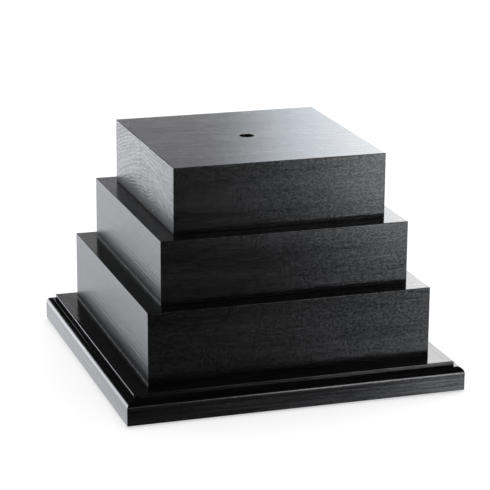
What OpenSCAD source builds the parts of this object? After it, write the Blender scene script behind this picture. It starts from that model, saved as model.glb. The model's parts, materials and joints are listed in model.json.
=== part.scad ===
// Stepped display plinth: a solid top block on two box-built tiers and a moulded base frame.
// Millimetres, +Z up, +X right, front face towards -Y, origin at the centre of the footprint on the ground.

/* [Top block] */
// Side of the square top block
top_w = 150; // [130:1:156]
// Height of the top block
top_h = 45.5; // [36:0.5:70]
// Distance from the centre back to the glue line between the block's two staves
glue_line_y = 7.5; // [6:0.5:30]

/* [Middle tier] */
// Side of the square middle tier
middle_w = 175; // [172:1:184]
// Height of the middle tier
middle_h = 44.5; // [40:0.5:70]

/* [Lower tier] */
// Side of the square lower tier
lower_w = 200; // [194:1:206]
// Height of the lower tier
lower_h = 50.5; // [40:0.5:80]

/* [Boards] */
// Thickness of the boards of both tiers and of the base panel
board_t = 12; // [10:0.5:13]
// Side of the square glue blocks inside the tiers' corners
block_w = 20; // [16:1:22]
// Width of the bevel that eases every outside arris
arris = 0.5; // [0.2:0.1:1]

/* [Base] */
// Outer side of the square base frame
base_w = 239; // [232:1:250]
// Height of the base frame
base_h = 19.5; // [18:0.5:24]
// Width of each rail, from its outer face to the edge of the recess below the panel
rail_w = 35; // [33:0.5:38]
// Width of the lip that carries the base panel
lip_w = 8; // [5:0.5:10]
// Height of the upright fillet at the top of the moulding
fillet_h = 3.2; // [2:0.1:4]
// Width of the narrow ledge below the fillet
ledge_w = 1.5; // [1:0.1:3]
// Radius of the quarter round below the ledge
round_r = 4.5; // [3:0.1:5]

/* [Fixing hole] */
// Diameter of the hole through the whole plinth, for a fixing rod
bore_d = 10; // [6:0.5:12]

/* [Mitre splines] */
// Length of each spline along its mitre
spline_l = 18; // [10:1:18]
// Width of each spline across its mitre
spline_w = 12; // [6:1:12]
// Thickness of each spline
spline_t = 3; // [2:0.5:4]

/* [Screws] */
// Length of every wood screw, over its head
screw_l = 35; // [25:1:36]
// Diameter of the screw shank
screw_d = 4; // [3:0.5:4.5]
// Diameter of the countersunk head
head_d = 8; // [7:0.5:9]
// Distance of the top block's screws from the centre lines
top_screw_xy = 50; // [30:1:51]

/* [Felt] */
// Thickness of the felt strips under the rails
felt_t = 1; // [0.5:0.5:2]
// Width of each felt strip
felt_w = 26; // [20:1:28]
// Distance from the base's outer face to the felt
felt_inset = 3; // [1:0.5:4]

/* [Hidden] */
$fn = 64;
SIDES = ["front", "right", "back", "left"];
CORNERS = [1, 2, 3, 4];
over = 1;

// Levels, from the ground up
base_z = felt_t;
lower_z = base_z + base_h;
middle_z = lower_z + lower_h;
top_z = middle_z + middle_h;
total_h = top_z + top_h;

// Half sizes of the base frame, from the outside in
rail_out = base_w / 2;
flat_out = rail_out - round_r - ledge_w;
rail_in = rail_out - rail_w;
panel_out = rail_in + lip_w;
panel_z = lower_z - board_t;
spline_xy = (panel_out + rail_out) / 2;
spline_z = panel_z + 2;

// Centres of the glue blocks, measured from the centre lines
middle_block_xy = middle_w / 2 - board_t - block_w / 2;
lower_block_xy = lower_w / 2 - board_t - block_w / 2;

// Shape of a screw
head_h = 3.6;
head_rim = 0.4;
tip_h = 6;
tip_d = 0.8;
cross_l = 4.4;
cross_w = 0.9;
cross_h = 2.2;
shank_clearance = 0.25;

// A child made for the front, turned to side number n of SIDES
module on_side(n) {
    rotate([0, 0, 90 * n]) children();
}

// A child made at the front right corner, turned to corner number n, counted anticlockwise from above
module on_corner(n) {
    rotate([0, 0, 90 * (n - 1)]) children();
}

// A Y-Z outline drawn along the whole length l of X
module along_x(l) {
    rotate([90, 0, 90]) linear_extrude(l, center = true) children();
}

// A block w square and h high standing on z, with its upright and top arrises eased
module eased_block(w, z, h) {
    intersection() {
        translate([0, 0, z]) linear_extrude(h) eased_square(w);
        eased_top(w, z, h);
        rotate([0, 0, 90]) eased_top(w, z, h);
    }
}

module eased_square(w) {
    r = w / 2;
    c = r - arris;
    polygon([[-c, -r], [c, -r], [r, -c], [r, c], [c, r], [-c, r], [-r, c], [-r, -c]]);
}

module eased_top(w, z, h) {
    r = w / 2;
    along_x(w) polygon([[-r, z], [r, z], [r, z + h - arris], [r - arris, z + h],
        [-r + arris, z + h], [-r, z + h - arris]]);
}

// The wedge that holds the front board of a box w square: mitred at both ends and at the top
module front_board_space(w, z, h) {
    r = w / 2;
    intersection() {
        translate([0, 0, z]) linear_extrude(h)
            polygon([[-r, -r], [r, -r], [r - board_t, board_t - r], [board_t - r, board_t - r]]);
        along_x(w) polygon([[-r, z], [board_t - r, z], [board_t - r, z + h - board_t], [-r, z + h]]);
    }
}

// The space between a box's four boards, bevelled on all four edges
module top_board_space(w, z, h) {
    for_both_ways() along_x(w) polygon([[board_t - w / 2, z + h - board_t],
        [w / 2 - board_t, z + h - board_t], [w / 2, z + h], [-w / 2, z + h]]);
}

module for_both_ways() {
    intersection() {
        children();
        rotate([0, 0, 90]) children();
    }
}

module front_board(w, z, h) {
    intersection() {
        eased_block(w, z, h);
        front_board_space(w, z, h);
    }
}

module top_board(w, z, h) {
    intersection() {
        eased_block(w, z, h);
        top_board_space(w, z, h);
    }
}

// The fixing rod's hole, through every level
module bore() {
    translate([0, 0, -over]) cylinder(d = bore_d, h = total_h + 2 * over);
}

// One countersunk wood screw, head at the bottom on z, pointing up
module screw(z) {
    translate([0, 0, z]) difference() {
        union() {
            cylinder(d = head_d, h = head_rim);
            translate([0, 0, head_rim]) cylinder(d1 = head_d, d2 = screw_d, h = head_h - head_rim);
            translate([0, 0, head_h]) cylinder(d = screw_d, h = screw_l - head_h - tip_h);
            translate([0, 0, screw_l - tip_h]) cylinder(d1 = screw_d, d2 = tip_d, h = tip_h);
        }
        for (turn = [0, 90]) rotate([0, 0, turn + 45])
            translate([-cross_l / 2, -cross_w / 2, -over]) cube([cross_l, cross_w, cross_h + over]);
    }
}

// The hole for that screw: countersunk and clear in the board it goes through, tight in the wood above
module screw_hole(z) {
    translate([0, 0, z - over]) cylinder(d = head_d, h = head_rim + over);
    translate([0, 0, z + head_rim]) cylinder(d1 = head_d, d2 = screw_d, h = head_h - head_rim);
    translate([0, 0, z]) cylinder(d = screw_d + 2 * shank_clearance, h = board_t);
    translate([0, 0, z + head_h]) cylinder(d = screw_d, h = screw_l - head_h - tip_h);
    translate([0, 0, z + screw_l - tip_h]) cylinder(d1 = screw_d, d2 = tip_d, h = tip_h);
}

module at_four(xy) {
    for (x = [-xy, xy], y = [-xy, xy]) translate([x, y, 0]) children();
}

module top_block_screw_holes() {
    at_four(top_screw_xy) screw_hole(top_z - board_t);
}

module middle_tier_screw_holes() {
    at_four(middle_block_xy) screw_hole(middle_z - board_t);
}

module lower_tier_screw_holes() {
    at_four(lower_block_xy) screw_hole(panel_z);
}

// The part of the top block between two depths, with its screw holes
module top_stave(y_from, y_to) {
    difference() {
        intersection() {
            eased_block(top_w, top_z, top_h);
            translate([-top_w / 2, y_from, top_z]) cube([top_w, y_to - y_from, top_h]);
        }
        bore();
        top_block_screw_holes();
    }
}

module top_block_front_stave() {
    color([0.07, 0.07, 0.08]) top_stave(-top_w / 2, glue_line_y);
}

module top_block_rear_stave() {
    color([0.09, 0.09, 0.1]) top_stave(glue_line_y, top_w / 2);
}

module middle_top_panel() {
    color([0.07, 0.07, 0.08]) difference() {
        top_board(middle_w, middle_z, middle_h);
        bore();
        top_block_screw_holes();
    }
}

module middle_side_panel() {
    color([0.08, 0.08, 0.09]) front_board(middle_w, middle_z, middle_h);
}

module middle_corner_block() {
    color([0.78, 0.64, 0.43]) difference() {
        corner_block(middle_block_xy, middle_z, middle_h - board_t);
        middle_tier_screw_holes();
    }
}

module lower_top_panel() {
    color([0.07, 0.07, 0.08]) difference() {
        top_board(lower_w, lower_z, lower_h);
        bore();
        middle_tier_screw_holes();
    }
}

module lower_side_panel() {
    color([0.08, 0.08, 0.09]) front_board(lower_w, lower_z, lower_h);
}

module lower_corner_block() {
    color([0.78, 0.64, 0.43]) difference() {
        corner_block(lower_block_xy, lower_z, lower_h - board_t);
        lower_tier_screw_holes();
    }
}

// A glue block at the front right corner
module corner_block(xy, z, h) {
    translate([xy - block_w / 2, -xy - block_w / 2, z]) cube([block_w, block_w, h]);
}

// Section of the front rail: a square-edged board with a fillet, a ledge and a quarter round outside,
// and a lip inside that carries the base panel
module rail_section() {
    round_z = lower_z - fillet_h - round_r;
    difference() {
        union() {
            translate([-rail_out, base_z]) square([rail_w, panel_z - base_z]);
            translate([-rail_out, base_z]) square([rail_out - panel_out, round_z - base_z]);
            translate([round_r - rail_out, round_z]) square([rail_out - round_r - panel_out, round_r]);
            translate([-flat_out, round_z]) square([flat_out - panel_out, lower_z - round_z]);
            translate([round_r - rail_out, round_z]) circle(r = round_r);
        }
        polygon([[-rail_out - over, base_z - over], [arris + over - rail_out, base_z - over],
            [-rail_out - over, base_z + arris + over]]);
        polygon([[-flat_out - over, lower_z + over], [arris + over - flat_out, lower_z + over],
            [-flat_out - over, lower_z - arris - over]]);
    }
}

module base_rail() {
    color([0.08, 0.08, 0.09]) difference() {
        intersection() {
            along_x(base_w) rail_section();
            translate([0, 0, base_z]) linear_extrude(base_h) eased_square(base_w);
            translate([0, 0, base_z]) linear_extrude(base_h) polygon([[0, 0],
                [-rail_out, -rail_out], [rail_out, -rail_out]]);
        }
        for (n = CORNERS) on_corner(n) mitre_spline_shape();
    }
}

module base_panel() {
    color([0.66, 0.5, 0.33]) difference() {
        translate([-panel_out, -panel_out, panel_z]) cube([2 * panel_out, 2 * panel_out, board_t]);
        bore();
        lower_tier_screw_holes();
    }
}

// A flat slip across the mitre at the front right corner
module mitre_spline_shape() {
    translate([spline_xy, -spline_xy, spline_z]) rotate([0, 0, -45])
        translate([-spline_l / 2, -spline_w / 2, 0]) cube([spline_l, spline_w, spline_t]);
}

module mitre_spline() {
    color([0.8, 0.68, 0.48]) mitre_spline_shape();
}

module top_block_screws() {
    color([0.75, 0.75, 0.78]) at_four(top_screw_xy) screw(top_z - board_t);
}

module middle_tier_screws() {
    color([0.75, 0.75, 0.78]) at_four(middle_block_xy) screw(middle_z - board_t);
}

module lower_tier_screws() {
    color([0.75, 0.75, 0.78]) at_four(lower_block_xy) screw(panel_z);
}

// A strip of felt under the front rail, mitred at both ends
module felt_strip() {
    out = rail_out - felt_inset;
    in = out - felt_w;
    color([0.1, 0.1, 0.11]) linear_extrude(felt_t)
        polygon([[-out, -out], [out, -out], [in, -in], [-in, -in]]);
}

top_block_front_stave();
top_block_rear_stave();
middle_top_panel();
lower_top_panel();
base_panel();
top_block_screws();
middle_tier_screws();
lower_tier_screws();
for (n = [0:3]) {
    on_side(n) middle_side_panel();
    on_side(n) lower_side_panel();
    on_side(n) base_rail();
    on_side(n) felt_strip();
}
for (n = CORNERS) {
    on_corner(n) middle_corner_block();
    on_corner(n) lower_corner_block();
    on_corner(n) mitre_spline();
}
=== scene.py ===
"""Stepped display plinth in black-stained wood: the looks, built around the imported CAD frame.

Lengths are in metres. +X is to the right along the front grain, -Y is towards the front, +Z is up.
"""
import json
import math

import bmesh
import bpy
from mathutils import Matrix, Quaternion, Vector, noise


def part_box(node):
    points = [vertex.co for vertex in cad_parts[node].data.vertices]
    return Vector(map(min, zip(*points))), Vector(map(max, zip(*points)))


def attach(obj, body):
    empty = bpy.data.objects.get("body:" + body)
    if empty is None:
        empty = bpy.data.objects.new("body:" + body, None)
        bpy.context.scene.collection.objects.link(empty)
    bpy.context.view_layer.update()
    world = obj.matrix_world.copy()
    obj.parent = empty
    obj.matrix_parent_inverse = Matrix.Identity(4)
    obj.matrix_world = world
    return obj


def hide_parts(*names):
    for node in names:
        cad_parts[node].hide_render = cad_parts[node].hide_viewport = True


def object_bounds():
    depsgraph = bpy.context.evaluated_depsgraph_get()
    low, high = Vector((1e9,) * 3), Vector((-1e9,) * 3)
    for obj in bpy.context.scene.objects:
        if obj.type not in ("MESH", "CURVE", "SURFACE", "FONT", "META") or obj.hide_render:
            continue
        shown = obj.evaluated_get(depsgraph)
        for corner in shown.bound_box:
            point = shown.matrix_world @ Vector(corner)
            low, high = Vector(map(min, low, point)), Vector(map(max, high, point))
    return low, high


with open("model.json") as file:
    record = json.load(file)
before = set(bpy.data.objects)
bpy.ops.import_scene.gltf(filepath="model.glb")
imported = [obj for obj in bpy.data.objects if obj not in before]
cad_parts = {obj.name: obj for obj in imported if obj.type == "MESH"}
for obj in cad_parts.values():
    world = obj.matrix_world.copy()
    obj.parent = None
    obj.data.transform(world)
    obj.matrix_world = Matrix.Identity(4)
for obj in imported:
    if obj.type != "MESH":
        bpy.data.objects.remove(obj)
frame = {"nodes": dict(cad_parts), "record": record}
cad_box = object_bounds()

SIDES = ("front", "right", "back", "left")
MM = 0.001

# Small shapes that the frame's boxes don't give. First the rounded arrises, then the base moulding's
# quarter round, the flat ledge above it and the low fillet that stands on the ledge
ARRIS = 0.5 * MM
ROUND = 4.5 * MM
LEDGE = 1.5 * MM
FILLET = 3.2 * MM

# Wood screws: the radii of the head, the shank and the thread's core, then the heights of the head's rim
# and of the whole head, the length of the tip, the thread's pitch, and the share of the length below it
HEAD = 4.0 * MM
SHANK = 2.0 * MM
THREAD_CORE = 1.35 * MM
HEAD_RIM = 0.4 * MM
HEAD_DEPTH = 3.6 * MM
TIP = 6.0 * MM
THREAD_PITCH = 1.8 * MM
THREAD_FROM = 0.36
# The gap round a shank in its hole
CLEARANCE = 0.1 * MM

# How far splinters have torn the rim of the bore
TORN = 0.7 * MM

# Felt: the size of its quads, the depth of the hollows below it, and the extra depth at its cut edges
FELT_CELL = 2.0 * MM
FELT_HOLLOW = 0.12 * MM
FELT_EDGE = 0.35 * MM

# End grain: quads, growth rings and their relief, saw marks, and the depth and reach of the glue line's dip
GRAIN_CELL = 0.5 * MM
RING_WIDTH = 2.8 * MM
RING_RELIEF = 0.06 * MM
SAW_MARKS = 0.015 * MM
GLUE_DIP = (0.1 * MM, 0.6 * MM)
# Late wood breaks up into dashes within a ring, and into groups of years: (along the ring, across)
DASH = (7 * MM, 1.2 * MM)
YEARS = (45 * MM, 5 * MM)
# The old swelling that pushes the rings out, at (y, z)
SWELLING = (-33 * MM, 127 * MM)
SWELLING_SIZE = (20 * MM, 13 * MM)

# How finely round things are cut, and the angle past which the faces beside an edge keep it sharp
BORE_STEPS, HOLE_STEPS, SCREW_STEPS = 96, 32, 28
THREAD_ROWS = 150
SHARP = math.radians(31)


# ---------------------------------------------------------------- node helpers

class Tree:
    """A material's or the world's node tree, with one short call for each kind of node."""

    def __init__(self, owner):
        owner.use_nodes = True
        self.nodes = owner.node_tree.nodes
        self.links = owner.node_tree.links
        self.nodes.clear()

    def put(self, socket, value):
        if isinstance(value, bpy.types.NodeSocket):
            self.links.new(value, socket)
        else:
            socket.default_value = value

    def math(self, operation, *values):
        node = self.nodes.new("ShaderNodeMath")
        node.operation = operation
        for socket, value in zip(node.inputs, values):
            self.put(socket, value)
        return node.outputs[0]

    def total(self, *pairs):
        """The sum of each value times its weight."""
        parts = [self.math("MULTIPLY", value, weight) for value, weight in pairs]
        while len(parts) > 1:
            parts.append(self.math("ADD", parts.pop(0), parts.pop(0)))
        return parts[0]

    def vector(self, operation, *values):
        node = self.nodes.new("ShaderNodeVectorMath")
        node.operation = operation
        for socket, value in zip(node.inputs, values):
            self.put(socket, value)
        return node.outputs["Value" if operation == "LENGTH" else "Vector"]

    def scaled(self, vector, factor):
        node = self.nodes.new("ShaderNodeVectorMath")
        node.operation = "SCALE"
        self.put(node.inputs["Vector"], vector)
        self.put(node.inputs["Scale"], factor)
        return node.outputs["Vector"]

    def split(self, vector):
        node = self.nodes.new("ShaderNodeSeparateXYZ")
        self.put(node.inputs[0], vector)
        return node.outputs[0], node.outputs[1], node.outputs[2]

    def join(self, x, y, z):
        node = self.nodes.new("ShaderNodeCombineXYZ")
        for socket, value in zip(node.inputs, (x, y, z)):
            self.put(socket, value)
        return node.outputs[0]

    def noise(self, vector, scale, detail=2.0, rough=0.5):
        node = self.nodes.new("ShaderNodeTexNoise")
        self.put(node.inputs["Vector"], vector)
        node.inputs["Scale"].default_value = scale
        node.inputs["Detail"].default_value = detail
        node.inputs["Roughness"].default_value = rough
        return node.outputs["Fac"]

    def ramp(self, value, low, high, to_low=0.0, to_high=1.0):
        """Eases from to_low to to_high as the value goes from low to high."""
        node = self.nodes.new("ShaderNodeMapRange")
        node.interpolation_type = "SMOOTHSTEP"
        for name, number in (("Value", value), ("From Min", low), ("From Max", high),
                             ("To Min", to_low), ("To Max", to_high)):
            self.put(node.inputs[name], number)
        return node.outputs[0]

    def mix(self, fac, a, b):
        node = self.nodes.new("ShaderNodeMix")
        node.data_type = "RGBA"
        self.put(node.inputs["Factor"], fac)
        self.put(node.inputs["A"], a)
        self.put(node.inputs["B"], b)
        return node.outputs["Result"]

    def bump(self, height, strength, distance):
        node = self.nodes.new("ShaderNodeBump")
        self.put(node.inputs["Strength"], strength)
        node.inputs["Distance"].default_value = distance
        self.put(node.inputs["Height"], height)
        return node.outputs[0]

    def attribute(self, name):
        node = self.nodes.new("ShaderNodeAttribute")
        node.attribute_name = name
        return node.outputs["Fac"]

    def given(self, kind, output):
        """What the renderer knows about the point being shaded."""
        return self.nodes.new(f"ShaderNode{kind}").outputs[output]

    def place(self):
        return self.given("TexCoord", "Object")

    def either(self, choice, first, second, output):
        """Ends the tree in the first shader where the choice is 0, and in the second where it is 1."""
        mixed = self.nodes.new("ShaderNodeMixShader")
        self.put(mixed.inputs[0], choice)
        self.links.new(first.outputs[0], mixed.inputs[1])
        self.links.new(second.outputs[0], mixed.inputs[2])
        self.links.new(mixed.outputs[0], self.nodes.new(output).inputs["Surface"])

    def finish(self, **values):
        """Ends the tree in a Principled shader. Its inputs are named with _ for each space."""
        shader = self.nodes.new("ShaderNodeBsdfPrincipled")
        for name, value in values.items():
            self.put(shader.inputs[name.replace("_", " ")], value)
        out = self.nodes.new("ShaderNodeOutputMaterial")
        self.links.new(shader.outputs[0], out.inputs["Surface"])


def grey(value):
    return (value, value, value, 1.0)


# ---------------------------------------------------------------- materials

TOP_ROUGH, TOP_BUMP = 0.13, 0.65
SIDE_ROUGH, SIDE_BUMP = 0.125, 0.1
LACQUER_RELIEF = 0.08 * MM
LACQUER_IOR = 1.7
# How high the painted highlight above the foot of the walls reaches, and its grey where it is brightest
FOOT_HIGHLIGHT_HEIGHT = 3.5 * MM
FOOT_HIGHLIGHT_GREY = 0.50
# Painted light: the end grain is painted pale from its foot up to the first height, and not above the
# second
PAINTED_LIGHT_FOOT = (2 * MM, 15 * MM)


def in_the_board(tree, axis, shift=(0.0, 0.0, 0.0)):
    """The place in a board as (along the grain, across, across), in metres, shifted to a fresh stretch."""
    x, y, z = tree.split(tree.vector("ADD", tree.place(), shift))
    return {"X": (x, y, z), "Y": (y, x, z), "Z": (z, x, y)}[axis]


def stretched(tree, grain, along_scale, across_scale, detail=2.0):
    """Noise drawn out along the grain. The scales are in marks per metre."""
    along, u, v = grain
    tilted_u = tree.total((u, 0.8 * across_scale), (v, 0.6 * across_scale))
    tilted_v = tree.total((v, 0.8 * across_scale), (u, -0.6 * across_scale))
    place = tree.join(tree.total((along, along_scale), (u, 0.4 * along_scale)), tilted_u, tilted_v)
    return tree.noise(place, 1.0, detail, 0.6)


def late_wood_bands(tree, grain, pith, ring_width):
    """0 in early wood, rising to 1 in the hard late wood, in rings round a pith at (across, across)."""
    u, v = grain[1:]
    away = tree.join(tree.math("SUBTRACT", u, pith[0]), tree.math("SUBTRACT", v, pith[1]), 0.0)
    wander = tree.math("MULTIPLY", stretched(tree, grain, 2.5, 24.0, 3.0), 0.006)
    radius = tree.math("ADD", tree.vector("LENGTH", away), wander)
    turn = tree.math("FRACT", tree.math("DIVIDE", radius, ring_width))
    return tree.math("MULTIPLY", tree.ramp(turn, 0.35, 0.86), tree.ramp(turn, 0.93, 1.0, 1.0, 0.0))


def black_wood(name, axis, pith, shift=(0.0, 0.0, 0.0), streaky=0.5, foot=None, side_rough=SIDE_ROUGH,
               side_bump=SIDE_BUMP):
    """Black stain under a satin lacquer, thin enough for streaks and open pores to break up the gloss.

    Faces that look up take their own roughness and bump, and all others take side_rough and side_bump.
    A pale grey painted highlight runs just above the foot, where a height is given for it.
    """
    tree = Tree(bpy.data.materials.new(name))
    grain = in_the_board(tree, axis, shift)
    bands = late_wood_bands(tree, grain, pith, RING_WIDTH)
    streaks = stretched(tree, grain, 9.0, 640.0)
    dashes = stretched(tree, grain, 55.0, 420.0)
    broad = stretched(tree, grain, 5.0, 60.0)
    speckle = stretched(tree, grain, 600.0, 850.0)
    height = tree.total((bands, 0.3 * streaky), (streaks, 1.8 * streaky), (dashes, 1.2), (speckle, 0.9))
    shade = tree.total((speckle, 0.9 - 0.6 * streaky), (dashes, 0.15), (streaks, 0.85 * streaky - 0.3),
                       (broad, 0.25 - 0.25 * streaky))
    gloss = tree.ramp(shade, 0.38, 0.62, 0.42, 1.0)
    facing_up = tree.ramp(tree.split(tree.given("NewGeometry", "Normal"))[2], 0.5, 0.95)
    patches = tree.ramp(tree.total((broad, 0.5), (speckle, 0.5)), 0.35, 0.65)
    rough = tree.total((tree.ramp(facing_up, 0.0, 1.0, side_rough, TOP_ROUGH), 1.0), (patches, 0.04))
    colour = tree.mix(tree.ramp(shade, 0.35, 0.65), grey(0.001), grey(0.007))
    # Painted highlight: pale grey just above the foot stands in for light caught there, with a little more
    # roughness
    if foot is not None:
        above = tree.math("SUBTRACT", tree.split(tree.place())[2], foot)
        low_down = tree.ramp(above, 0.0, FOOT_HIGHLIGHT_HEIGHT, 1.0, 0.0)
        most_low_down = tree.math("MULTIPLY", low_down, low_down)
        painted_foot_highlight = tree.math("MULTIPLY", most_low_down, tree.ramp(speckle, 0.3, 0.6))
        colour = tree.mix(painted_foot_highlight, colour, grey(FOOT_HIGHLIGHT_GREY))
        rough = tree.total((rough, 1.0), (painted_foot_highlight, 0.15))
    strength = tree.ramp(facing_up, 0.0, 1.0, side_bump, TOP_BUMP)
    tree.finish(Base_Color=colour, Roughness=rough, IOR=LACQUER_IOR,
                Specular_Tint=tree.join(gloss, gloss, gloss),
                Normal=tree.bump(height, strength, LACQUER_RELIEF))
    return bpy.data.materials[name]


def black_end_grain(foot):
    """The same stain on end grain, which drinks it: greyer and paler in late wood, with painted light near
    the foot.
    """
    tree = Tree(bpy.data.materials.new("black_end_grain"))
    late = tree.attribute("late_wood")
    place = tree.place()
    blotches = tree.noise(place, 60.0, 3.0)
    fibre_ends = tree.noise(place, 1500.0, 2.0, 0.7)
    above = tree.math("SUBTRACT", tree.split(place)[2], foot)
    # Painted light: the end grain is made paler near its foot
    low_down = tree.ramp(above, *PAINTED_LIGHT_FOOT, 1.0, 0.0)
    tone = tree.total((late, 0.55), (blotches, 0.35), (fibre_ends, 0.12), (low_down, 0.45))
    tree.finish(Base_Color=tree.mix(tree.ramp(tone, 0.25, 0.85), grey(0.03), grey(0.17)),
                Roughness=tree.total((late, -0.08), (blotches, 0.1), (1.0, 0.22)),
                IOR=1.4, Normal=tree.bump(tree.total((fibre_ends, 1.0), (late, 0.2)), 0.5, 0.06 * MM))
    return bpy.data.materials["black_end_grain"]


def raw_wood(name, axis, pith, early, late, ring_width=RING_WIDTH):
    """Planed wood with no finish, in the colours of its early and late wood."""
    tree = Tree(bpy.data.materials.new(name))
    grain = in_the_board(tree, axis)
    bands = late_wood_bands(tree, grain, pith, ring_width)
    streaks = stretched(tree, grain, 14.0, 700.0, 3.0)
    tone = tree.total((bands, 0.65), (streaks, 0.4))
    tree.finish(Base_Color=tree.mix(tree.ramp(tone, 0.1, 0.95), early, late),
                Roughness=tree.ramp(streaks, 0.3, 0.7, 0.55, 0.75),
                Normal=tree.bump(tree.total((bands, 0.4), (streaks, 1.0)), 0.5, 0.06 * MM))
    return bpy.data.materials[name]


def zinc_steel():
    tree = Tree(bpy.data.materials.new("zinc_steel"))
    haze = tree.noise(tree.place(), 900.0, 3.0)
    tree.finish(Base_Color=tree.mix(haze, (0.62, 0.62, 0.6, 1.0), (0.78, 0.76, 0.7, 1.0)), Metallic=1.0,
                Roughness=tree.ramp(haze, 0.3, 0.7, 0.25, 0.45),
                Normal=tree.bump(tree.noise(tree.place(), 5000.0), 0.2, 0.02 * MM))
    return bpy.data.materials["zinc_steel"]


def felt():
    tree = Tree(bpy.data.materials.new("black_felt"))
    fluff = tree.noise(tree.place(), 2200.0, 4.0, 0.7)
    clumps = tree.noise(tree.place(), 240.0, 3.0)
    shade = tree.total((fluff, 0.6), (clumps, 0.4))
    tree.finish(Base_Color=tree.mix(tree.ramp(shade, 0.3, 0.7), grey(0.012), grey(0.035)), Roughness=0.95,
                Sheen_Weight=0.25, Sheen_Roughness=0.4, Normal=tree.bump(fluff, 0.8, 0.2 * MM))
    return bpy.data.materials["black_felt"]


# ---------------------------------------------------------------- geometry helpers

def spread(low, high, count):
    """count + 1 evenly spaced places from low to high."""
    return [low + (high - low) * k / count for k in range(count + 1)]


def near_arrises(low, high):
    """Places from low to high that come close together where the arris at each end bends."""
    steps = [ARRIS * (1 - math.tan(math.radians(angle))) for angle in (45, 30, 15, 0)]
    return [low + step for step in steps] + [high - step for step in reversed(steps)]


def with_cells(low, high, cell, ends):
    """Places about a cell apart from low to high. ends says at which of the two ends an arris bends."""
    places = near_arrises(low, high)
    start = places[:3] if ends[0] else [low]
    stop = places[-3:] if ends[1] else [high]
    inner_low = places[3] if ends[0] else low + cell
    inner_high = places[-4] if ends[1] else high - cell
    return start + spread(inner_low, inner_high, round((inner_high - inner_low) / cell)) + stop


def eased(point, low, high):
    """Where a point goes when the box from low to high has its arrises rounded."""
    inner = Vector(min(max(c, a + ARRIS), b - ARRIS) for c, a, b in zip(point, low, high))
    offset = point - inner
    return inner + offset.normalized() * max(abs(c) for c in offset)


def endless(box):
    """A box's corners, with the bottom far below, so that easing leaves the bottom arrises square."""
    low, high = box
    return low - Vector((0, 0, 1)), high


def box_of(names):
    """The box round several CAD nodes."""
    boxes = [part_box(name) for name in names]
    low = Vector(min(b[0][i] for b in boxes) for i in range(3))
    high = Vector(max(b[1][i] for b in boxes) for i in range(3))
    return low, high


def lattice(xs, ys, zs, shape):
    """A closed box of quads through the given places. shape(x, y, z) says where each corner goes."""
    mesh = bmesh.new()
    places = (xs, ys, zs)
    verts = {}

    def vert(index):
        if index not in verts:
            verts[index] = mesh.verts.new(shape(*(p[i] for p, i in zip(places, index))))
        return verts[index]

    for axis in range(3):
        a, b = (axis + 1) % 3, (axis + 2) % 3
        for end in (0, len(places[axis]) - 1):
            for p in range(len(places[a]) - 1):
                for q in range(len(places[b]) - 1):
                    corners = []
                    for dp, dq in ((0, 0), (1, 0), (1, 1), (0, 1)):
                        index = [0, 0, 0]
                        index[axis], index[a], index[b] = end, p + dp, q + dq
                        corners.append(vert(tuple(index)))
                    mesh.faces.new(corners if end else corners[::-1])
    return mesh


def mitred_bar(section, places, raw):
    """A bar along the front, from a (y, z) section, with both ends cut on the mitre.

    places(from, to) gives the places along it. The sides of the section numbered in raw take the second
    material, and so do the mitres.
    """
    mesh = bmesh.new()
    rings = [[mesh.verts.new((x, y, z)) for x in places(y, -y)] for y, z in section]
    for side, (ring, after) in enumerate(zip(rings, rings[1:] + rings[:1])):
        for k in range(len(ring) - 1):
            face = mesh.faces.new((ring[k], ring[k + 1], after[k + 1], after[k]))
            face.material_index = int(side in raw)
    for end in (0, -1):
        mesh.faces.new([ring[end] for ring in rings]).material_index = 1
    return mesh


def arc(centre, radius, start, stop, steps):
    """Points on an arc between two angles in degrees."""
    angles = [math.radians(angle) for angle in spread(start, stop, steps)]
    return [(centre[0] + radius * math.cos(a), centre[1] + radius * math.sin(a)) for a in angles]


def reshaped(mesh, shape):
    for vert in mesh.verts:
        vert.co = shape(vert.co)
    return mesh


def turned(mesh, quarter_turns):
    bmesh.ops.rotate(mesh, verts=mesh.verts, cent=(0, 0, 0),
                     matrix=Matrix.Rotation(math.pi / 2 * quarter_turns, 3, "Z"))
    return mesh


def painted(mesh, chosen):
    """chosen(face normal) says which of the piece's materials each face takes."""
    mesh.normal_update()
    for face in mesh.faces:
        face.material_index = chosen(face.normal)
    return mesh


def tube(mesh, centre, rows, radius, steps):
    """Adds a closed upright solid. rows are its heights, and radius(row, angle) is its outline in each."""
    rings = []
    for row, height in enumerate(rows):
        ring = []
        for k in range(steps):
            angle = 2 * math.pi * k / steps
            reach = radius(row, angle)
            ring.append(mesh.verts.new((centre[0] + reach * math.cos(angle),
                                        centre[1] + reach * math.sin(angle), height)))
        rings.append(ring)
    for lower, upper in zip(rings, rings[1:]):
        for k in range(steps):
            mesh.faces.new((lower[k], lower[(k + 1) % steps], upper[(k + 1) % steps], upper[k]))
    mesh.faces.new(rings[0][::-1])
    mesh.faces.new(rings[-1])


def linked(name, mesh, materials):
    """An object from a bmesh."""
    bmesh.ops.recalc_face_normals(mesh, faces=mesh.faces)
    data = bpy.data.meshes.new(name)
    mesh.to_mesh(data)
    mesh.free()
    for material in materials:
        data.materials.append(material)
    piece = bpy.data.objects.new(name, data)
    bpy.context.scene.collection.objects.link(piece)
    return piece


def carve(piece, holes):
    """Takes the shapes in the bmesh holes out of a piece."""
    cutter = linked("cutter", holes, [])
    change = piece.modifiers.new("carve", "BOOLEAN")
    change.operation = "DIFFERENCE"
    change.solver = "EXACT"
    change.object = cutter
    graph = bpy.context.evaluated_depsgraph_get()
    piece.data = bpy.data.meshes.new_from_object(piece.evaluated_get(graph), depsgraph=graph)
    piece.modifiers.clear()
    bpy.data.objects.remove(cutter)


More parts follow.
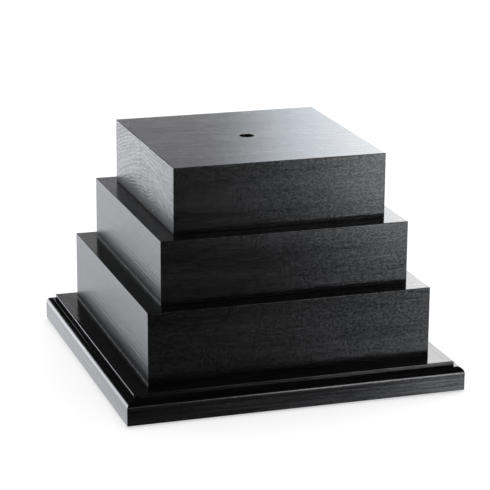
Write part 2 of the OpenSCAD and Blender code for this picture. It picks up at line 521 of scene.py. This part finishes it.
def made_piece(node, part, mesh, materials, holes=None):
    """The finished piece that stands for a CAD node."""
    piece = linked(f"{node}_{part}", mesh, materials)
    if holes:
        carve(piece, holes)
    for face in piece.data.polygons:
        face.use_smooth = True
    piece.data.set_sharp_from_angle(angle=SHARP)
    even = piece.modifiers.new("even_faces", "WEIGHTED_NORMAL")
    even.keep_sharp = True
    even.weight = 100
    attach(piece, "root")
    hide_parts(node)
    return piece


# ---------------------------------------------------------------- holes and screws

BORE = next(m["dims"]["r_mm"] for m in frame["record"]["mounts"] if m["name"] == "centre_bore") * MM


def add_bore(holes):
    """The fixing hole through every level. At the top its rim is a little torn along the grain."""
    low, high = cad_box
    rows = [low.z - 5 * MM, high.z - 1.5 * MM, high.z - 0.5 * MM, high.z + 0.05 * MM]
    torn = [0.0, 0.0, 0.25 * TORN, TORN]

    def radius(row, angle):
        ragged = 0.5 + 0.5 * noise.noise(Vector((3 * math.cos(angle), 3 * math.sin(angle), 7.0)))
        along_grain = abs(math.cos(angle)) ** 3
        return BORE + torn[row] * (0.15 + 0.45 * ragged + 0.6 * along_grain * ragged)

    tube(holes, (0, 0), rows, radius, BORE_STEPS)


def screw_places(node):
    """Centres of a group's four screws, and the height of their heads and their length."""
    low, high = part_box(node)
    reach = high.x - HEAD
    return [(x, y) for x in (-reach, reach) for y in (-reach, reach)], low.z, high.z - low.z


def add_screw_holes(holes, node):
    """Countersunk clearance holes for a group of screws."""
    centres, foot, length = screw_places(node)
    rows = [foot - 1 * MM, foot + HEAD_RIM, foot + HEAD_DEPTH, foot + length - TIP, foot + length]
    radii = [HEAD, HEAD, SHANK + CLEARANCE, SHANK + CLEARANCE, 0.5 * MM]
    for centre in centres:
        tube(holes, centre, rows, lambda row, angle: radii[row], HOLE_STEPS)


def add_cross(holes, centre, foot):
    """A cross recess in a screw's head, narrowing as it goes in."""
    reach, half, depth = 2.2 * MM, 0.45 * MM, 2.2 * MM
    rings = []
    for height, grown in ((foot - 0.5 * MM, 1.0), (foot + depth, 0.55)):
        arm = [(reach * grown, -half), (reach * grown, half), (half, half)]
        ring = []
        for turn in range(4):
            spin = Matrix.Rotation(math.pi / 4 + turn * math.pi / 2, 2)
            ring += [Vector(centre) + spin @ Vector(point) for point in arm]
        rings.append([holes.verts.new((x, y, height)) for x, y in ring])
    lower, upper = rings
    count = len(lower)
    for k in range(count):
        holes.faces.new((lower[k], lower[(k + 1) % count], upper[(k + 1) % count], upper[k]))
    holes.faces.new(lower[::-1])
    holes.faces.new(upper)


def wood_screws(node, material):
    """Four countersunk wood screws, heads down, threaded over the upper part."""
    mesh = bmesh.new()
    crosses = bmesh.new()
    centres, foot, length = screw_places(node)
    plain = [0.0, HEAD_RIM, HEAD_DEPTH, HEAD_DEPTH + 0.2 * MM]
    heights = plain + spread(THREAD_FROM * length, length, THREAD_ROWS)

    def radius(row, angle):
        up = heights[row]
        if up <= HEAD_RIM:
            return HEAD
        if up < THREAD_FROM * length:
            return SHANK * 0.95
        crest = SHANK * min(1.0, (length - up) / TIP + 0.1)
        core = THREAD_CORE * crest / SHANK
        turn = (up / THREAD_PITCH - angle / (2 * math.pi)) % 1.0
        return core + (crest - core) * max(0.0, 1 - abs(turn - 0.5) / 0.3)

    for centre in centres:
        tube(mesh, centre, [foot + up for up in heights], radius, SCREW_STEPS)
        add_cross(crosses, centre, foot)
    made_piece(node, "threaded", mesh, [material], crosses)


# ---------------------------------------------------------------- the top block

def late_wood(y, z, growth):
    """How much of the wood at (y, z) on the end grain is hard late wood, in broken rings round a far pith.

    growth is the pith, and how far the rings are pushed out round an old swelling.
    """
    pith, push = growth
    radius = math.hypot(y - pith[0], z - pith[1])
    along_ring = math.atan2(y - pith[0], z - pith[1]) * radius
    away = ((y - SWELLING[0]) / SWELLING_SIZE[0]) ** 2 + ((z - SWELLING[1]) / SWELLING_SIZE[1]) ** 2
    radius -= push * math.exp(-away)
    wander = 1.2 * MM * noise.noise(Vector((y, z, pith[0])) * 45.0)
    turn = ((radius + wander) / RING_WIDTH + 0.45 * math.sin(radius / (5 * MM))) % 1.0
    rise = min(1.0, max(0.0, (turn - 0.25) / 0.5))
    fall = min(1.0, max(0.0, (1.0 - turn) / 0.2))
    dashes = noise.noise(Vector((along_ring / DASH[0], radius / DASH[1], pith[0] * 90.0)))
    years = noise.noise(Vector((along_ring / YEARS[0], radius / YEARS[1], pith[1] * 70.0)))
    late = 0.55 * rise * rise * (3 - 2 * rise) * fall + 0.8 * dashes + 0.5 * years + 0.25
    return min(1.0, max(0.0, late))


def stave(node, growth, black, end_grain, raw):
    """One of the top block's two staves. The rings stand up a little on its sawn and sanded ends."""
    low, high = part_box(node)
    block_low, block_high = endless(box_of(("top_block_front_stave", "top_block_rear_stave")))
    outer = (low.y == block_low.y, high.y == block_high.y)
    glue_line = high.y if outer[0] else low.y

    def shape(x, y, z):
        point = eased(Vector((x, y, z)), block_low, block_high)
        if abs(point.x) > block_high.x - 1e-7:
            sunk = RING_RELIEF * (1 - late_wood(point.y, point.z, growth))
            sunk += SAW_MARKS * (1 + noise.noise(point * 1400.0))
            sunk += GLUE_DIP[0] * max(0.0, 1 - abs(point.y - glue_line) / GLUE_DIP[1])
            point.x -= math.copysign(sunk, point.x)
        return point

    xs = near_arrises(low.x, high.x)
    ys = with_cells(low.y, high.y, GRAIN_CELL, outer)
    zs = with_cells(low.z, high.z, GRAIN_CELL, (False, True))

    def chosen(normal):
        """0 for lacquered sides, 1 for the end grain, and 2 for the raw underside and glue line."""
        if abs(normal.x) > 0.9:
            return 1
        on_glue_line = abs(normal.y) > 0.9 and (normal.y > 0) == outer[0]
        return 2 if normal.z < -0.9 or on_glue_line else 0

    mesh = painted(lattice(xs, ys, zs, shape), chosen)
    holes = bmesh.new()
    add_bore(holes)
    add_screw_holes(holes, "top_block_screws")
    piece = made_piece(node, "end_grained", mesh, [black, end_grain, raw], holes)
    late = piece.data.attributes.new("late_wood", "FLOAT", "POINT")
    late.data.foreach_set("value", [late_wood(v.co.y, v.co.z, growth) for v in piece.data.vertices])


# ---------------------------------------------------------------- the box-built tiers

def tier(prefix, black, raw):
    """Four boards and a top, mitred together, so that no end grain shows. The bore goes through the top."""
    names = [f"{prefix}_{side}_panel" for side in SIDES]
    box = endless(box_of(names))
    low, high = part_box(names[0])
    inside = high.y
    # How far below the top each bend of the rounded arris is, from the outside in
    drops = near_arrises(0.0, 1.0)[3::-1]
    section = [(low.y, low.z)] + [(low.y, high.z - drop) for drop in drops]
    raw_from = len(section) - 1
    section += [(inside, high.z - (inside - low.y)), (inside, low.z)]
    for turn, (side, name) in enumerate(zip(SIDES, names)):
        mesh = mitred_bar(section, near_arrises, range(raw_from, len(section)))
        reshaped(mesh, lambda point: eased(point, *box))
        made_piece(name, "board", turned(mesh, turn), [black[side], raw[side]])

    half, top = box[1].x, box[1].z
    edges = near_arrises(-half, half)

    def shape(x, y, z):
        narrowed = 1 - (top - z) / half
        return eased(Vector((x * narrowed, y * narrowed, z)), *box)

    mesh = lattice(edges, edges, [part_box(f"{prefix}_top_panel")[0].z, top], shape)
    painted(mesh, lambda normal: 0 if normal.z > 0.5 else 1)
    holes = bmesh.new()
    add_bore(holes)
    made_piece(f"{prefix}_top_panel", "board", mesh, [black["top"], raw["top"]], holes)


# ---------------------------------------------------------------- the base

def rail_section():
    """The moulding, from its bottom outer arris up and over to the rebate that holds the panel."""
    low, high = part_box("base_front_rail")
    panel_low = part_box("base_panel")[0]
    shoulder = high.z - FILLET - ROUND
    fillet_y = low.y + ROUND + LEDGE
    section = arc((low.y + ARRIS, low.z + ARRIS), ARRIS, 270, 180, 4)
    section += arc((low.y + ROUND, shoulder), ROUND, 180, 90, 16)
    section += [(fillet_y, shoulder + ROUND)]
    section += arc((fillet_y + ARRIS, high.z - ARRIS), ARRIS, 180, 90, 4)
    section += [(panel_low.y, high.z)]
    raw_from = len(section) - 1
    section += [(panel_low.y, panel_low.z), (high.y, panel_low.z), (high.y, low.z)]
    return section, range(raw_from, len(section) - 1)


def base_rails(black, raw):
    """Four moulded rails. Easing in a box that is endless both ways rounds only their upright arrises."""
    low, high = endless(cad_box)
    endless_high = high + Vector((0, 0, 1))
    section, raw_sides = rail_section()
    for turn, side in enumerate(SIDES):
        mesh = mitred_bar(section, near_arrises, raw_sides)
        reshaped(mesh, lambda point: eased(point, low, endless_high))
        materials = [black[side], raw[side]]
        made_piece(f"base_{side}_rail", "moulding", turned(mesh, turn), materials)


def base_panel(material):
    low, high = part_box("base_panel")
    xs = near_arrises(low.x, high.x)
    mesh = lattice(xs, xs, near_arrises(low.z, high.z), lambda x, y, z: eased(Vector((x, y, z)), low, high))
    holes = bmesh.new()
    add_bore(holes)
    add_screw_holes(holes, "lower_tier_screws")
    made_piece("base_panel", "plywood", mesh, [material], holes)


def felt_strips(material):
    """Soft mitred strips, glued flat at the top, uneven below and along their cut edges."""
    low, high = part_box("felt_strip_front")
    width = high.y - low.y
    across = spread(low.y, high.y, round(width / FELT_CELL))
    section = [(y, low.z) for y in across] + [(y, high.z) for y in reversed(across)]

    def places(start, stop):
        return spread(start, stop, round((high.x - low.x) / FELT_CELL))

    def softened(point):
        hollow = 0.5 + 0.5 * noise.noise(point * 300.0)
        if point.z < (low.z + high.z) / 2:
            edge = min(point.y - low.y, high.y - point.y) < FELT_CELL / 2
            point.z += (FELT_HOLLOW + (FELT_EDGE if edge else 0.0)) * hollow
        return point

    for turn, side in enumerate(SIDES):
        mesh = turned(reshaped(mitred_bar(section, places, ()), softened), turn)
        painted(mesh, lambda normal: 0)
        piece = made_piece(f"felt_strip_{side}", "soft", mesh, [material])


def sides(along_x, along_y):
    """Which material each side of a box takes, so that the grain runs along every board."""
    return {"front": along_x, "back": along_x, "top": along_x, "left": along_y, "right": along_y}


def refinish(nodes, material):
    """Gives CAD nodes that keep their own shape a better material."""
    for name in nodes:
        data = frame["nodes"][name].data
        data.materials.clear()
        data.materials.append(material)


# ---------------------------------------------------------------- floor, lights and camera

def towards(heading, elevation):
    """The way to a heading, which turns from +Y towards +X, at an elevation. Both are in degrees."""
    h, e = math.radians(heading), math.radians(elevation)
    return Vector((math.sin(h) * math.cos(e), math.cos(h) * math.cos(e), math.sin(e)))


def show_floor():
    """A white floor, seen by the camera from above only. The studio's low lights shine through it."""
    mesh = bmesh.new()
    bmesh.ops.create_grid(mesh, x_segments=4, y_segments=4, size=FLOOR_REACH)
    material = bpy.data.materials.new("white_floor")
    floor = linked("floor", mesh, [material])
    floor.location.z = cad_box[0].z
    tree = Tree(material)
    shader = tree.nodes.new("ShaderNodeBsdfPrincipled")
    shader.inputs["Base Color"].default_value = grey(0.85)
    shader.inputs["Roughness"].default_value = 0.9
    shader.inputs["Specular IOR Level"].default_value = 0.0
    shader.inputs["Emission Color"].default_value = grey(1.0)
    shader.inputs["Emission Strength"].default_value = 0.6
    clear = tree.nodes.new("ShaderNodeBsdfTransparent")
    tree.either(tree.given("NewGeometry", "Backfacing"), shader, clear, "ShaderNodeOutputMaterial")
    floor.visible_glossy = False
    floor.visible_shadow = False


def softbox(name, heading, elevation, distance, width, radiance, aim):
    """A soft square light that shows in no reflection."""
    data = bpy.data.lights.new(name, "AREA")
    data.shape = "SQUARE"
    data.size = width
    data.energy = radiance * math.pi * width ** 2
    light = bpy.data.objects.new(name, data)
    bpy.context.scene.collection.objects.link(light)
    away = towards(heading, elevation)
    light.location = Vector(aim) + away * distance
    light.rotation_mode = "QUATERNION"
    light.rotation_quaternion = away.to_track_quat("Z", "Y")
    light.visible_glossy = False
    light.visible_camera = False


def soft_world():
    """White to the camera. To everything else it is a dark room with the bright parts of STUDIO."""
    world = bpy.data.worlds.new("studio")
    bpy.context.scene.world = world
    tree = Tree(world)
    way = tree.vector("NORMALIZE", tree.given("TexCoord", "Generated"))
    x, y, z = tree.split(way)
    heading = tree.math("MULTIPLY", tree.math("ARCTAN2", x, y), 180 / math.pi)
    elevation = tree.math("MULTIPLY", tree.math("ARCSINE", z), 180 / math.pi)

    def window(value, low, high, soft):
        rise = tree.ramp(value, low - soft, low + soft)
        return tree.math("MULTIPLY", rise, tree.ramp(value, high - soft, high + soft, 1.0, 0.0))

    light = DARK_ROOM
    for radiance, colour, headings, elevations in STUDIO:
        share = tree.math("MULTIPLY", window(heading, *headings), window(elevation, *elevations))
        light = tree.vector("ADD", light, tree.scaled([radiance * c for c in colour], share))
    studio = tree.nodes.new("ShaderNodeBackground")
    tree.put(studio.inputs["Color"], light)
    white = tree.nodes.new("ShaderNodeBackground")
    white.inputs["Color"].default_value = grey(1.0)
    white.inputs["Strength"].default_value = BACKDROP
    tree.either(tree.given("LightPath", "Is Camera Ray"), studio, white, "ShaderNodeOutputWorld")


def set_camera(heading, elevation, roll, distance, lens, aim):
    """Looks at aim along a heading, down by an elevation, and turned by roll about its line of sight."""
    data = bpy.data.cameras.new("camera")
    data.sensor_width, data.lens = 36.0, lens
    data.clip_start, data.clip_end = 0.05, 50.0
    camera = bpy.data.objects.new("camera", data)
    bpy.context.scene.collection.objects.link(camera)
    ahead = towards(heading, -elevation)
    camera.location = Vector(aim) - ahead * distance
    camera.rotation_mode = "QUATERNION"
    camera.rotation_quaternion = ahead.to_track_quat("-Z", "Y") @ Quaternion((0, 0, 1), math.radians(roll))
    bpy.context.scene.camera = camera


# How far the floor reaches, the strength of the white backdrop, and what light is left in the dark
FLOOR_REACH = 6.0
BACKDROP = 1.1
DARK_ROOM = (0.01, 0.01, 0.0105)
COOL = (0.96, 0.985, 1.04)
NEUTRAL = (1.01, 0.99, 1.02)
SKY = (0.92, 1.0, 1.08)
WARM = (1.01, 1.0, 0.99)
# Radiance, tint, headings and elevations (low, high, softness) of each bright part of the studio
STUDIO = (
    (1.20, COOL, (-80, 26, 8), (-45, -20, 3)),
    (1.40, COOL, (-80, 26, 8), (-20, -11.5, 3)),
    (3.60, COOL, (-80, -8, 6), (-11.5, 7.5, 4)),
    (1.50, COOL, (-8, 26, 6), (-11.5, -2, 3)),
    (3.00, COOL, (-8, 26, 6), (-2, 6, 3)),
    (0.40, NEUTRAL, (8, 18.5, 1.5), (2, 35, 5)),
    (1.90, SKY, (18.5, 21.5, 1.5), (2, 35, 5)),
    (3.45, WARM, (21.5, 25, 2), (2, 35, 5)),
    (2.50, WARM, (25, 80, 3), (2, 35, 5)),
    (0.80, COOL, (26, 90, 6), (-45, 2, 5)),
    (0.80, COOL, (-125, -80, 8), (-45, 8, 6)),
    (9.00, COOL, (155, 158.5, 1.5), (-15.5, -2, 1.5)),
    (1.70, COOL, (148, 155, 2), (-19.3, -15.5, 1.5)),
    (4.40, COOL, (148, 156, 2), (-40, -19.3, 1.5)),
    (7.50, NEUTRAL, (150, 162, 3), (-2, 9, 3)),
)

centre = (cad_box[0] + cad_box[1]) / 2
aim = centre + Vector((-0.65, 0.4, 0.6)) * MM
set_camera(heading=17.989, elevation=16.334, roll=0.375, distance=1.4949, lens=154.5, aim=aim)
show_floor()
soft_world()
softbox("overhead_softbox", heading=0.0, elevation=85.0, distance=2.0, width=2.4, radiance=1.6, aim=centre)
bpy.context.scene.view_settings.view_transform = "Standard"

# ---------------------------------------------------------------- the plinth

# Early wood and late wood
PINE = ((0.62, 0.43, 0.24, 1.0), (0.42, 0.25, 0.12, 1.0))
BIRCH = ((0.68, 0.52, 0.34, 1.0), (0.55, 0.39, 0.23, 1.0))
PINE_PITH = (0.09, 0.02)
raw_x = raw_wood("raw_softwood_along_x", "X", PINE_PITH, *PINE)
raw_y = raw_wood("raw_softwood_along_y", "Y", PINE_PITH, *PINE)
raw_z = raw_wood("raw_softwood_upright", "Z", PINE_PITH, *PINE)
plywood = raw_wood("raw_plywood", "X", (0.0, -0.35), *BIRCH, ring_width=7 * MM)
steel = zinc_steel()
raw = sides(raw_x, raw_y)

stave_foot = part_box("top_block_front_stave")[0].z
end_grain = black_end_grain(stave_foot)
front_growth = ((0.0, -150 * MM), 7 * MM)
rear_growth = ((-45 * MM, -150 * MM), 0.0)
black_front = black_wood("black_front_stave", "X", (-0.35, -0.25))
black_rear = black_wood("black_rear_stave", "X", (0.3, -0.2))
stave("top_block_front_stave", front_growth, black_front, end_grain, raw_x)
stave("top_block_rear_stave", rear_growth, black_rear, end_grain, raw_x)
for prefix, away in (("middle", 0.4), ("lower", 0.9)):
    tier_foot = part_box(f"{prefix}_front_panel")[0].z
    along_x = black_wood(f"black_{prefix}_along_x", "X", (-0.35, -0.25), (away, 0.0, 0.0))
    along_y = black_wood(f"black_{prefix}_along_y", "Y", (-0.33, -0.31), (0.0, away, 0.0), foot=tier_foot,
                         side_rough=0.30, side_bump=1.0)
    tier(prefix, sides(along_x, along_y), raw)
rail_x = black_wood("black_rails_along_x", "X", (-0.3, -0.2), (1.3, 0.0, 0.0), streaky=1.0, side_bump=0.3)
rail_y = black_wood("black_rails_along_y", "Y", (-0.3, -0.2), (0.0, 1.3, 0.0), streaky=1.0, side_bump=0.6)
base_rails(sides(rail_x, rail_y), raw)
base_panel(plywood)
felt_strips(felt())
for group in ("top_block_screws", "middle_tier_screws", "lower_tier_screws"):
    wood_screws(group, steel)
refinish([name for name in frame["nodes"] if "corner_block" in name], raw_z)
refinish([name for name in frame["nodes"] if "spline" in name], plywood)
